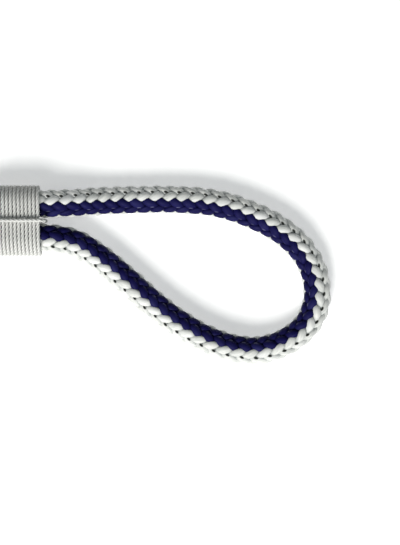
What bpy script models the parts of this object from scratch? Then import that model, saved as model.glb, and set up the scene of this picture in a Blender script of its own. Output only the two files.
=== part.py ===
"""Dock line: a braided rope with a seized eye, its standing part made up in a tied hank.

The line lies on a flat surface at z = 0. The eye points along +X. The standing part leaves the seizing
towards -X and runs into the hank, an oval of turns that lie beside and on each other. All sizes are in
metres, +Z is up, and the origin is under the middle of the whole made-up line.
"""

import math

import bmesh
import bpy
from mathutils import Vector
from mathutils.geometry import convex_hull_2d

# Rope and twine
ROPE_DIAMETER = 0.012
SEIZING_TWINE = 0.0018
WHIPPING_TWINE = 0.0012
TIE_TWINE = 0.0020
GAP = 0.0003  # between neighbours that touch

# Throat of the eye, where the tail is seized to the standing part
SEIZING_START_X = 0.0670
SEIZING_LENGTH = 0.0230
SEIZED_Y = 0.0458  # centre line of the standing part in the seizing
TAIL_LENGTH = 0.0100  # of the tail past the seizing
TIP_LENGTH = 0.0022  # of the melted end of the rope
TIP_ROUND = 0.0008

# Hank
HANK_END_X = 0.0246  # the end of the hank that faces the eye
HANK_ENTRY_Y = 0.0480  # centre line of the standing part as it enters the hank
HANK_STRAIGHT = 0.1070  # between the centres of the end folds
HANK_FOLD_RADIUS = 0.0240  # centre line of the innermost turn
HANK_COLUMNS = 3
HANK_LAYERS = 3  # the full layers, under the turns on top
END_X = -0.0660  # where the rope's end lies, on top of the hank
WHIPPING_LENGTH = 0.0160
WHIPPING_SETBACK = 0.0040  # from the rope's end to the whipping

# Ties round each side of the hank
TIE_X = -0.0960
TIE_WRAPS = 3
TIE_PINCH = 0.0023  # how far a tie draws the outer turns in
KNOT_SIZE = (0.0072, 0.0090, 0.0048)

# Made from the values above
ROPE_RADIUS = ROPE_DIAMETER / 2
LAYER_PITCH = ROPE_DIAMETER * math.sqrt(3) / 2  # turns of one layer rest in the grooves of the last
OUTER_TURN = HANK_FOLD_RADIUS + (HANK_COLUMNS - 1) * ROPE_DIAMETER
HANK_OUTSIDE = OUTER_TURN + ROPE_RADIUS
HANK_INSIDE = HANK_FOLD_RADIUS - ROPE_RADIUS
FOLD_NEAR_X = HANK_END_X - HANK_OUTSIDE
FOLD_FAR_X = FOLD_NEAR_X - HANK_STRAIGHT
HANK_Y = HANK_ENTRY_Y - OUTER_TURN
TOP_INNER_TURN = HANK_FOLD_RADIUS + ROPE_RADIUS
TOP_OUTER_TURN = TOP_INNER_TURN + ROPE_DIAMETER
TOP_Z = ROPE_RADIUS + HANK_LAYERS * LAYER_PITCH  # centre line of the turns on top
BASE_TOP = TOP_Z - ROPE_RADIUS - GAP
SEIZED_GAP = SEIZING_TWINE + 2 * GAP  # between the two seized ropes, for the frapping turn
TAIL_Y = SEIZED_Y - ROPE_DIAMETER - SEIZED_GAP
SEIZED_Z = ROPE_RADIUS + 2 * SEIZING_TWINE + 2 * GAP  # the frapping turn lies underneath
SEIZING_END_X = SEIZING_START_X - SEIZING_LENGTH
TAIL_X = SEIZING_END_X - TAIL_LENGTH
TIE_WIDTH = TIE_WRAPS * TIE_TWINE

# Shape of the curves
TUBE_SIDES = 3  # bevel_resolution of the rope's tubes
TUBE_STEP = 0.0080
CURVE_STEP = TUBE_STEP / 8  # of the fine curve that the tube's points are picked from
ROUND_STEPS = 24  # of each half circle in an outline
CYLINDER_SIDES = 32
KNOT_SEGMENTS = 24
ROUNDING_SEGMENTS = 3
WELD_DISTANCE = 1e-6

# Finishes: colour, roughness
ROPE_WHITE = ((0.80, 0.81, 0.78, 1.0), 0.55)
TWINE_WHITE = ((0.86, 0.85, 0.80, 1.0), 0.60)
MELTED = ((0.55, 0.56, 0.56, 1.0), 0.30)

# The free rope from the tail's end, round the eye and on to the hank: x, y, and how far it is lifted from
# the surface towards the seizing's height. The seized stretches are added by eye_route.
EYE_POINTS = [
    (0.0782, 0.0300, 0.60),
    (0.0858, 0.0265, 0.25),
    (0.0950, 0.0198, 0.05),
    (0.1042, 0.0120, 0.0),
    (0.1136, 0.0036, 0.0),
    (0.1232, -0.0038, 0.0),
    (0.1343, -0.0105, 0.0),
    (0.1456, -0.0151, 0.0),
    (0.1581, -0.0168, 0.0),
    (0.1700, -0.0137, 0.0),
    (0.1800, -0.0059, 0.0),
    (0.1843, 0.0047, 0.0),
    (0.1830, 0.0172, 0.0),
    (0.1766, 0.0279, 0.0),
    (0.1673, 0.0356, 0.0),
    (0.1557, 0.0414, 0.0),
    (0.1442, 0.0453, 0.0),
    (0.1316, 0.0473, 0.0),
    (0.1194, 0.0477, 0.0),
    (0.1070, 0.0476, 0.0),
    (0.0950, 0.0472, 0.05),
    (0.0858, 0.0467, 0.30),
    (0.0775, 0.0461, 0.75),
]
STANDING_POINTS = [
    (0.0330, 0.0464, 0.70),
    (0.0220, 0.0472, 0.25),
    (0.0100, 0.0478, 0.0),
]


def clear_scene():
    """Removes whatever the file holds, so that the script can run again."""
    for item in list(bpy.data.objects):
        bpy.data.objects.remove(item, do_unlink=True)
    for group in list(bpy.data.collections):
        bpy.data.collections.remove(group)


def new_collection(name):
    """A collection of that name in the scene."""
    group = bpy.data.collections.new(name)
    bpy.context.scene.collection.children.link(group)
    return group


def move_to(item, group):
    """Takes an object out of its collections and puts it in that one."""
    for owner in list(item.users_collection):
        owner.objects.unlink(item)
    group.objects.link(item)


def finish_material(name, finish):
    """A Principled BSDF with that colour and roughness."""
    colour, roughness = finish
    material = bpy.data.materials.new(name)
    material.use_nodes = True
    shader = material.node_tree.nodes["Principled BSDF"]
    shader.inputs["Base Color"].default_value = colour
    shader.inputs["Roughness"].default_value = roughness
    shader.inputs["Metallic"].default_value = 0.0
    material.diffuse_color = colour
    return material


def add_part(name, data, group, finish):
    """An object of its own, with its own material, in the line's collection."""
    part = bpy.data.objects.new(name, data)
    group.objects.link(part)
    data.materials.clear()
    data.materials.append(finish_material(name, finish))
    return part


def smooth_line(points):
    """Points every TUBE_STEP along the smooth curve through the route's points."""
    curve = []
    last = len(points) - 1
    for i in range(last):
        before, here = points[max(i - 1, 0)], points[i]
        there, after = points[i + 1], points[min(i + 2, last)]
        reach = (there - here).length
        leave = (there - before).normalized() * reach
        arrive = (after - here).normalized() * reach
        steps = max(4, round(reach / CURVE_STEP))
        for j in range(steps):
            t = j / steps
            curve.append(
                here * (2 * t**3 - 3 * t**2 + 1)
                + leave * (t**3 - 2 * t**2 + t)
                + there * (3 * t**2 - 2 * t**3)
                + arrive * (t**3 - t**2)
            )
    curve.append(points[last])
    total = sum((b - a).length for a, b in zip(curve, curve[1:]))
    count = max(2, round(total / TUBE_STEP))
    line, walked, wanted = [curve[0]], 0.0, total / count
    for a, b in zip(curve, curve[1:]):
        walked += (b - a).length
        if walked >= wanted and len(line) < count:
            line.append(b)
            wanted = len(line) * total / count
    return line + [curve[-1]]


def tube(name, line, radius, group, finish):
    """A round tube along a line of points, closed by flat caps."""
    data = bpy.data.curves.new(name, "CURVE")
    data.dimensions = "3D"
    data.bevel_depth = radius
    data.bevel_resolution = TUBE_SIDES
    data.use_fill_caps = True
    data.twist_mode = "MINIMUM"
    spline = data.splines.new("POLY")
    spline.points.add(len(line) - 1)
    for point, place in zip(spline.points, line):
        point.co = (*place, 1.0)
    return add_part(name, data, group, finish)


def outline(name, rings, depth, group, finish):
    """A flat outline in its own XY plane, extruded to that depth along its Z. Inner rings are holes."""
    data = bpy.data.curves.new(name, "CURVE")
    data.dimensions = "2D"
    data.fill_mode = "BOTH"
    data.extrude = depth / 2
    for ring in rings:
        spline = data.splines.new("POLY")
        spline.points.add(len(ring) - 1)
        spline.use_cyclic_u = True
        for point, place in zip(spline.points, ring):
            point.co = (place[0], place[1], 0.0, 1.0)
    return add_part(name, data, group, finish)


def as_mesh(curve):
    """The curve object again as a mesh whose caps are welded on, for a Boolean."""
    bpy.context.view_layer.update()
    depsgraph = bpy.context.evaluated_depsgraph_get()
    data = bpy.data.meshes.new_from_object(curve.evaluated_get(depsgraph))
    shell = bmesh.new()
    shell.from_mesh(data)
    bmesh.ops.remove_doubles(shell, verts=shell.verts, dist=WELD_DISTANCE)
    bmesh.ops.recalc_face_normals(shell, faces=shell.faces)
    shell.to_mesh(data)
    shell.free()
    name, group, place = curve.name, curve.users_collection[0], curve.matrix_world.copy()
    bpy.data.objects.remove(curve)
    solid = bpy.data.objects.new(name, data)
    solid.matrix_world = place
    group.objects.link(solid)
    return solid


def cutter(shape):
    """Marks a solid as a tool that is drawn as wire and left out of the model."""
    shape.hide_render = True
    shape.display_type = "WIRE"
    return shape


def combine(solid, tool, operation):
    """A Boolean of the solid with the tool."""
    modifier = solid.modifiers.new(tool.name, "BOOLEAN")
    modifier.operation = operation
    modifier.object = tool
    modifier.solver = "EXACT"


def stadium(radius, straight, centre=(0.0, 0.0)):
    """A closed outline of two half circles joined by straights along X."""
    points = []
    for side, start in ((1, -math.pi / 2), (-1, math.pi / 2)):
        for i in range(ROUND_STEPS + 1):
            angle = start + math.pi * i / ROUND_STEPS
            points.append(
                (
                    centre[0] + side * straight / 2 + radius * math.cos(angle),
                    centre[1] + radius * math.sin(angle),
                )
            )
    return points


def round_hull(centres, radius):
    """The outline of a band drawn tight round circles of one radius."""
    ring = [
        Vector(
            (
                x + radius * math.cos(math.pi * i / ROUND_STEPS),
                y + radius * math.sin(math.pi * i / ROUND_STEPS),
            )
        )
        for x, y in centres
        for i in range(2 * ROUND_STEPS)
    ]
    return [tuple(ring[i]) for i in convex_hull_2d(ring)]


def lifted(points):
    """Route points as vectors: the third value runs from the surface to the seizing's height."""
    return [Vector((x, y, ROPE_RADIUS + lift * (SEIZED_Z - ROPE_RADIUS))) for x, y, lift in points]


def eye_route():
    """The rope from the tail's end, through the seizing, round the eye and back, and on to the hank."""
    tail = [
        Vector((TAIL_X, TAIL_Y, SEIZED_Z)),
        Vector((SEIZING_END_X, TAIL_Y, SEIZED_Z)),
        Vector((SEIZING_START_X, TAIL_Y, SEIZED_Z)),
    ]
    standing = [
        Vector((SEIZING_START_X, SEIZED_Y, SEIZED_Z)),
        Vector((SEIZING_END_X, SEIZED_Y, SEIZED_Z)),
    ]
    entry = [
        Vector((FOLD_NEAR_X + ROPE_DIAMETER * 2, HANK_ENTRY_Y, ROPE_RADIUS)),
        Vector((FOLD_NEAR_X + GAP, HANK_ENTRY_Y, ROPE_RADIUS)),
    ]
    return tail + lifted(EYE_POINTS) + standing + lifted(STANDING_POINTS) + entry


def make_eye(group):
    """The eye of the line, with its tail and the standing part as far as the hank."""
    tube("eye_rope", smooth_line(eye_route()), ROPE_RADIUS, group, ROPE_WHITE)


def seizing_outline(radius):
    """The section of a band round the two seized ropes."""
    return stadium(radius, ROPE_DIAMETER + SEIZED_GAP)


def make_seizing(group):
    """The round turns that bind the tail to the standing part, and the frapping turn that tightens them."""
    inside = ROPE_RADIUS + GAP
    wraps = outline(
        "throat_seizing",
        [seizing_outline(inside + SEIZING_TWINE), seizing_outline(inside)],
        SEIZING_LENGTH,
        group,
        TWINE_WHITE,
    )
    middle_x = (SEIZING_START_X + SEIZING_END_X) / 2
    middle_y = (SEIZED_Y + TAIL_Y) / 2
    wraps.location = (middle_x, middle_y, SEIZED_Z)
    wraps.rotation_euler = (math.pi / 2, 0, math.pi / 2)

    corner = SEIZING_TWINE
    half_x = SEIZING_LENGTH / 2 + GAP
    half_z = inside + SEIZING_TWINE + GAP
    corners = [
        (x * (half_x - corner / 2), z * (half_z - corner / 2)) for x in (-1, 1) for z in (-1, 1)
    ]
    frapping = outline(
        "throat_frapping",
        [
            round_hull(corners, corner / 2 + SEIZING_TWINE - GAP),
            round_hull(corners, corner / 2),
        ],
        SEIZING_TWINE,
        group,
        TWINE_WHITE,
    )
    frapping.location = (middle_x, middle_y, SEIZED_Z)
    frapping.rotation_euler = (math.pi / 2, 0, 0)


def make_tip(name, place, direction, group):
    """The end of the rope, melted into a short round button. It points along X."""
    bpy.ops.mesh.primitive_cylinder_add(
        vertices=CYLINDER_SIDES,
        radius=ROPE_RADIUS,
        depth=TIP_LENGTH,
        location=(place.x + direction * (TIP_LENGTH / 2 + GAP), place.y, place.z),
        rotation=(0, math.pi / 2, 0),
    )
    tip = bpy.context.object
    tip.name = tip.data.name = name
    move_to(tip, group)
    tip.data.materials.append(finish_material(name, MELTED))
    rounding = tip.modifiers.new("rounding", "BEVEL")
    rounding.width = TIP_ROUND
    rounding.segments = ROUNDING_SEGMENTS
    rounding.limit_method = "ANGLE"


def hank_outline(radius_out, radius_in):
    """The plan of a ring of turns between two fold radii."""
    return [stadium(radius_out, HANK_STRAIGHT), stadium(radius_in, HANK_STRAIGHT)]


def hank_plan_middle():
    """The middle of the hank, seen from above."""
    return (FOLD_NEAR_X + FOLD_FAR_X) / 2


def box_tool(name, low, high, group):
    """A box between two corners, as a cutter."""
    bpy.ops.mesh.primitive_cube_add(size=1, location=[(a + b) / 2 for a, b in zip(low, high)])
    box = bpy.context.object
    box.name = name
    box.scale = [b - a for a, b in zip(low, high)]
    move_to(box, group)
    return cutter(box)


def tie_circles():
    """Centres of the outer turns that a tie draws together, across the hank's side and up."""
    low, high = HANK_FOLD_RADIUS + TIE_PINCH, OUTER_TURN - TIE_PINCH
    base_top = ROPE_RADIUS + (HANK_LAYERS - 1) * LAYER_PITCH
    return [
        (low, ROPE_RADIUS + TIE_PINCH),
        (high, ROPE_RADIUS + TIE_PINCH),
        (low, base_top),
        (high, base_top),
        (TOP_INNER_TURN, TOP_Z),
        (TOP_OUTER_TURN, TOP_Z),
    ]


def place_across(shape, side):
    """Stands an outline across one side of the hank, at the ties."""
    shape.location = (TIE_X, HANK_Y, 0)
    shape.rotation_euler = (math.pi / 2, 0, math.pi / 2)
    if side < 0:
        shape.rotation_euler = (math.pi / 2, 0, -math.pi / 2)


def tie_groove(side, group, finish):
    """The groove that a tie draws into one side of the hank, as a cutter."""
    reach = HANK_OUTSIDE + ROPE_DIAMETER
    room = [
        (HANK_INSIDE - ROPE_RADIUS, -ROPE_RADIUS),
        (reach, -ROPE_RADIUS),
        (reach, TOP_Z + ROPE_DIAMETER),
        (HANK_INSIDE - ROPE_RADIUS, TOP_Z + ROPE_DIAMETER),
    ]
    rings = [room, round_hull(tie_circles(), ROPE_RADIUS)]
    groove = outline("groove", rings, TIE_WIDTH + 2 * GAP, group, finish)
    place_across(groove, side)
    return cutter(as_mesh(groove))


def make_hank(group, tools):
    """The turns of the hank as one ring: the full layers, and the inner turn that lies on top of them."""
    middle = hank_plan_middle()
    base = outline(
        "rope_hank", hank_outline(HANK_OUTSIDE, HANK_INSIDE), BASE_TOP, group, ROPE_WHITE
    )
    base.location = (middle, HANK_Y, BASE_TOP / 2)
    base = as_mesh(base)

    rim_top = TOP_Z + ROPE_RADIUS
    rim = outline(
        "top_turn",
        hank_outline(TOP_OUTER_TURN - ROPE_RADIUS - GAP, TOP_INNER_TURN - ROPE_RADIUS),
        rim_top - BASE_TOP / 2,
        tools,
        ROPE_WHITE,
    )
    rim.location = (middle, HANK_Y, (rim_top + BASE_TOP / 2) / 2)
    rim = cutter(as_mesh(rim))
    combine(base, rim, "UNION")

    entry = box_tool(
        "entry",
        (FOLD_NEAR_X, HANK_ENTRY_Y - ROPE_RADIUS - GAP, -ROPE_DIAMETER),
        (HANK_END_X, HANK_ENTRY_Y + ROPE_DIAMETER, ROPE_DIAMETER + GAP),
        tools,
    )
    combine(base, entry, "DIFFERENCE")
    for side in (1, -1):
        combine(base, tie_groove(side, tools, ROPE_WHITE), "DIFFERENCE")

    bpy.ops.mesh.primitive_cylinder_add(
        vertices=CYLINDER_SIDES,
        radius=ROPE_RADIUS + WHIPPING_TWINE + 2 * GAP,
        depth=WHIPPING_LENGTH + 2 * GAP,
        location=(whipping_middle(), HANK_Y - TOP_OUTER_TURN, TOP_Z),
        rotation=(0, math.pi / 2, 0),
    )
    pocket = bpy.context.object
    pocket.name = "whipping_pocket"
    move_to(pocket, tools)
    combine(base, cutter(pocket), "DIFFERENCE")


def whipping_middle():
    """Where the middle of the end's whipping lies along X."""
    return END_X - WHIPPING_SETBACK - WHIPPING_LENGTH / 2


def end_line():
    """The last turn, which lies on the hank: round the near fold, back, round the far fold and to the end."""
    line = []
    for fold_x, start in ((FOLD_NEAR_X, -math.pi / 2), (FOLD_FAR_X, math.pi / 2)):
        steps = round(math.pi * TOP_OUTER_TURN / TUBE_STEP)
        for i in range(steps + 1):
            angle = start + math.pi * i / steps
            line.append(
                Vector(
                    (
                        fold_x + TOP_OUTER_TURN * math.cos(angle),
                        HANK_Y + TOP_OUTER_TURN * math.sin(angle),
                        TOP_Z,
                    )
                )
            )
    line.append(Vector((END_X, HANK_Y - TOP_OUTER_TURN, TOP_Z)))
    return line


def make_end(group):
    """The last turn of the rope, the whipping near its end, and the melted tips of end and tail."""
    line = end_line()
    tube("rope_end", line, ROPE_RADIUS, group, ROPE_WHITE)
    inside = ROPE_RADIUS + GAP
    whipping = outline(
        "end_whipping",
        [stadium(inside + WHIPPING_TWINE, 0.0), stadium(inside, 0.0)],
        WHIPPING_LENGTH,
        group,
        TWINE_WHITE,
    )
    whipping.location = (whipping_middle(), HANK_Y - TOP_OUTER_TURN, TOP_Z)
    whipping.rotation_euler = (math.pi / 2, 0, math.pi / 2)
    make_tip("end_tip", line[-1], 1, group)
    make_tip("tail_tip", Vector((TAIL_X, TAIL_Y, SEIZED_Z)), -1, group)


def make_tie(name, side, group, tools):
    """Twine drawn round one side of the hank, and the knot that holds it, on top."""
    circles = tie_circles()
    rings = [
        round_hull(circles, ROPE_RADIUS + GAP + TIE_TWINE),
        round_hull(circles, ROPE_RADIUS + GAP),
    ]
    band = outline(name, rings, TIE_WIDTH, group, TWINE_WHITE)
    place_across(band, side)
    band = as_mesh(band)
    across = (TOP_INNER_TURN + TOP_OUTER_TURN) / 2
    knot_z = TOP_Z + ROPE_RADIUS + GAP + (TIE_TWINE + KNOT_SIZE[2]) / 2
    bpy.ops.mesh.primitive_uv_sphere_add(
        segments=KNOT_SEGMENTS,
        ring_count=KNOT_SEGMENTS // 2,
        radius=0.5,
        location=(TIE_X, HANK_Y + side * across, knot_z),
    )
    knot = bpy.context.object
    knot.name = name + "_knot"
    knot.scale = KNOT_SIZE
    move_to(knot, tools)
    combine(band, cutter(knot), "UNION")


def build():
    """Makes every part of the line."""
    clear_scene()
    parts = new_collection("dock_line")
    tools = new_collection("cutters")
    make_eye(parts)
    make_seizing(parts)
    make_hank(parts, tools)
    make_end(parts)
    make_tie("hank_tie_left", 1, parts, tools)
    make_tie("hank_tie_right", -1, parts, tools)


build()
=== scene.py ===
"""Looks of the dock line: a braided rope with a seized eye, its standing part made up in a tied hank.

The rope's outside is ten columns of short yarn stitches laid round a dark core. One line runs down the
middle of the whole rope, and every stitch is placed by how far along that line it lies, its angle round the
rope and its height over the middle. Twine seizes the eye, whips the rope's end and ties the hank. All sizes
are in metres, in the frame of the CAD model, with +Z up.
"""

import logging
import math
from dataclasses import dataclass, field
from enum import Enum
from typing import ClassVar

import bpy
import numpy as np
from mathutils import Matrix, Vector
from mathutils.geometry import convex_hull_2d


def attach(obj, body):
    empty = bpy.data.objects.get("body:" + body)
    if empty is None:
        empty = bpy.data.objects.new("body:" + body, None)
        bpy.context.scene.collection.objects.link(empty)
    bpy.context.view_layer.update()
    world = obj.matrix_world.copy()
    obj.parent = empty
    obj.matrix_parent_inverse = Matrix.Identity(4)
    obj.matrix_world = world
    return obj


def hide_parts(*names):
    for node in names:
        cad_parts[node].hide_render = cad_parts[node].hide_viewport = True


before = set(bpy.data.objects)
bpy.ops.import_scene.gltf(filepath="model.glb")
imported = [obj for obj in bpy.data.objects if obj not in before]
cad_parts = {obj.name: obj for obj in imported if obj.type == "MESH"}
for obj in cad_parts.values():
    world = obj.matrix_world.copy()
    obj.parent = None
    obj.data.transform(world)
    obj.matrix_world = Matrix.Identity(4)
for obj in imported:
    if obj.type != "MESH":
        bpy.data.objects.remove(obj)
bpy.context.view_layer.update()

LOG = logging.getLogger("dock_line")

Colour = tuple[float, float, float]
Point = tuple[float, float, float]
Face = tuple[int, ...]
Corner = tuple[float, float]

# Sizes of the rope and of what is on it, as the CAD model has them
ROPE_DIAMETER = 0.012
ROPE_RADIUS = ROPE_DIAMETER / 2
SEIZING_TWINE = 0.0018
WHIPPING_TWINE = 0.0012
TIE_TWINE = 0.0020
GAP = 0.0003
SEIZING_START_X = 0.0670
SEIZING_LENGTH = 0.0230
SEIZED_Y = 0.0458
TAIL_LENGTH = 0.0100
TIP_LENGTH = 0.0022
HANK_END_X = 0.0246
HANK_ENTRY_Y = 0.0480
HANK_STRAIGHT = 0.1070
HANK_FOLD_RADIUS = 0.0240
HANK_COLUMNS = 3
HANK_LAYERS = 3
END_X = -0.0660
WHIPPING_LENGTH = 0.0160
WHIPPING_SETBACK = 0.0040
TIE_X = -0.0960
TIE_WRAPS = 3
TIE_PINCH = 0.0023

# Worked out from the sizes above
LAYER_PITCH = ROPE_DIAMETER * math.sqrt(3) / 2
OUTER_TURN = HANK_FOLD_RADIUS + (HANK_COLUMNS - 1) * ROPE_DIAMETER
MIDDLE_TURN = HANK_FOLD_RADIUS + ROPE_DIAMETER
FOLD_NEAR_X = HANK_END_X - OUTER_TURN - ROPE_RADIUS
FOLD_FAR_X = FOLD_NEAR_X - HANK_STRAIGHT
HANK_Y = HANK_ENTRY_Y - OUTER_TURN
TOP_INNER_TURN = HANK_FOLD_RADIUS + ROPE_RADIUS
TOP_OUTER_TURN = TOP_INNER_TURN + ROPE_DIAMETER
TOP_Z = ROPE_RADIUS + HANK_LAYERS * LAYER_PITCH
SEIZED_GAP = SEIZING_TWINE + 2 * GAP
TAIL_Y = SEIZED_Y - ROPE_DIAMETER - SEIZED_GAP
SEIZED_Z = ROPE_RADIUS + 2 * SEIZING_TWINE + 2 * GAP
SEIZING_END_X = SEIZING_START_X - SEIZING_LENGTH
TAIL_X = SEIZING_END_X - TAIL_LENGTH
WHIPPING_X = END_X - WHIPPING_SETBACK - WHIPPING_LENGTH / 2

# The free rope of the eye and the standing part: x, y, and how far it is lifted towards the seizing's height
EYE_POINTS = [
    (0.0782, 0.0300, 0.60),
    (0.0858, 0.0265, 0.25),
    (0.0950, 0.0198, 0.05),
    (0.1042, 0.0120, 0.0),
    (0.1136, 0.0036, 0.0),
    (0.1232, -0.0038, 0.0),
    (0.1343, -0.0105, 0.0),
    (0.1456, -0.0151, 0.0),
    (0.1581, -0.0168, 0.0),
    (0.1700, -0.0137, 0.0),
    (0.1800, -0.0059, 0.0),
    (0.1843, 0.0047, 0.0),
    (0.1830, 0.0172, 0.0),
    (0.1766, 0.0279, 0.0),
    (0.1673, 0.0356, 0.0),
    (0.1557, 0.0414, 0.0),
    (0.1442, 0.0453, 0.0),
    (0.1316, 0.0473, 0.0),
    (0.1194, 0.0477, 0.0),
    (0.1070, 0.0476, 0.0),
    (0.0950, 0.0472, 0.05),
    (0.0858, 0.0467, 0.30),
    (0.0775, 0.0461, 0.75),
]
STANDING_POINTS = [
    (0.0330, 0.0464, 0.70),
    (0.0220, 0.0472, 0.25),
    (0.0100, 0.0478, 0.0),
]

# How far the colours turn towards the loop's outer side, in degrees, by the eye point they pass
BRAID_TURNS = [(0, 6.0), (5, 6.0), (8, 2.0), (11, -4.0), (14, -3.0), (18, 0.0), (22, 0.0)]

# The spot painted at the pinhole beside a stitch, painted shade on the white yarn, in the stitch's UV:
# its middle and its reach along the yarn and round it
PAINTED_PINHOLE = ((0.345, 0.115), (0.365, 0.062))

# How far the UVs of the twine and the even columns, and those of the core, are moved off the painted pinhole
CLEAR_OF_PAINTED_PINHOLE = 4.0
CORE_UV_START = 8.0


class Yarn(Enum):
    """The stuff a face of the rope is made of. The value is its material's place on the piece."""

    WHITE = 0
    NAVY = 1
    CORE = 2


class Slot(Enum):
    """Names of material slots."""

    ROPE = "rope"
    SEIZING = "seizing_twine"
    WHIPPING = "whipping_twine"
    MELTED = "melted_end"
    TIE = "tie_twine"


# Finishes


@dataclass(frozen=True)
class YarnFinish:
    """A yarn's colour, painted shade where it tucks under, palest tone, pinhole spot and filaments."""

    name: str
    colour: Colour
    # Painted shade, mixed in where the yarn tucks under its neighbours
    shade: Colour
    glint: Colour
    # The pinhole's painted spot: near-black painted shade on the white yarn, a pale spot on the navy
    pinhole_paint: Colour
    roughness: float
    gloss: float
    filaments: float = 9.0
    streaks: float = 0.30
    bump: float = 0.00009
    pinhole_paint_varies: float = 0.0


@dataclass(frozen=True)
class MeltFinish:
    """How the melted ends of the rope look."""

    name: str
    white: Colour
    navy: Colour
    roughness: float


@dataclass(frozen=True)
class FloorFinish:
    """How the floor looks."""

    name: str
    colour: Colour
    roughness: float
    glow: float


WHITE_YARN = YarnFinish(
    name="white_yarn",
    colour=(0.84, 0.84, 0.80),
    shade=(0.13, 0.17, 0.19),
    glint=(0.88, 0.88, 0.88),
    # Near black: painted shade in the pinhole
    pinhole_paint=(0.01, 0.012, 0.01),
    roughness=0.62,
    gloss=0.25,
)
NAVY_YARN = YarnFinish(
    name="navy_yarn",
    colour=(0.0050, 0.0038, 0.072),
    shade=(0.0006, 0.0005, 0.014),
    glint=(0.018, 0.018, 0.11),
    pinhole_paint=(0.10, 0.10, 0.20),
    roughness=0.66,
    gloss=0.15,
    pinhole_paint_varies=1.0,
)
# The core is near black as painted shade for the gaps between the stitches
CORE_PAINTED_SHADE = YarnFinish(
    name="core_painted_shade",
    colour=(0.010, 0.011, 0.014),
    shade=(0.004, 0.004, 0.006),
    glint=(0.020, 0.020, 0.024),
    pinhole_paint=(0.010, 0.011, 0.014),
    roughness=0.90,
    gloss=0.1,
)
TWINE = YarnFinish(
    name="waxed_twine",
    colour=(0.86, 0.86, 0.83),
    # Painted shade, between the plies
    shade=(0.52, 0.52, 0.50),
    glint=(0.87, 0.87, 0.85),
    pinhole_paint=(0.82, 0.82, 0.79),
    roughness=0.55,
    gloss=0.3,
    filaments=7.0,
    streaks=0.20,
)
MELTED = MeltFinish(name="melted_end", white=(0.42, 0.43, 0.42), navy=(0.020, 0.018, 0.070), roughness=0.28)
FLOOR = FloorFinish(name="studio_floor", colour=(0.93, 0.93, 0.93), roughness=0.9, glow=0.38)


def map_range(
    tree: bpy.types.NodeTree,
    value: bpy.types.NodeSocket,
    source: tuple[float, float],
    target: tuple[float, float] = (0.0, 1.0),
    soft: bool = False,
) -> bpy.types.NodeSocket:
    """A Map Range node.

    Args:
        tree: the tree that the node goes in.
        value: the socket to map.
        source: the value's range.
        target: what that range becomes.
        soft: whether both ends of the range are eased.

    Returns:
        The mapped value's socket.
    """
    node = tree.nodes.new("ShaderNodeMapRange")
    if soft:
        node.interpolation_type = "SMOOTHSTEP"
    for name, number in zip(("From Min", "From Max", "To Min", "To Max"), (*source, *target)):
        node.inputs[name].default_value = number
    tree.links.new(value, node.inputs["Value"])
    return node.outputs[0]


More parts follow.
